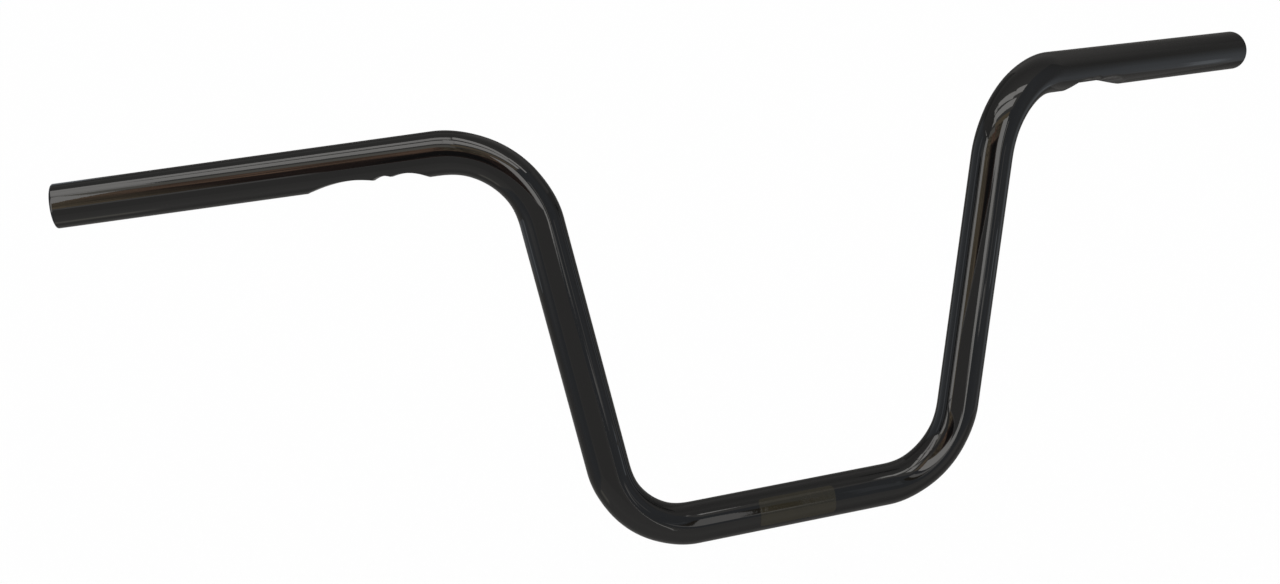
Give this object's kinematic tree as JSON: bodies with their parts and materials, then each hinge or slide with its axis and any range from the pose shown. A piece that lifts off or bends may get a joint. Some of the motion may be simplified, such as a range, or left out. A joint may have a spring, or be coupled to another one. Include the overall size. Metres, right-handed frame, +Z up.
{
  "type": "ape hanger handlebar",
  "caption": "High-rise motorbike handlebar: one bent tube with a centre clamp run, splayed risers and swept-back grips with pressed wiring dimples underneath.",
  "frame": {"origin": "middle of the straight clamp run, on the tube's axis", "axes": "+X along the clamp run to the clutch side, +Y back to the rider, +Z up in the plane of the clamp run and the risers"},
  "size_m": [0.8096, 0.1273, 0.2633],
  "materials": {
    "gloss_black_paint": "gloss"
  },
  "bodies": {
    "root": {"handlebar_tube": "gloss_black_paint"}
  },
  "joints": []
}
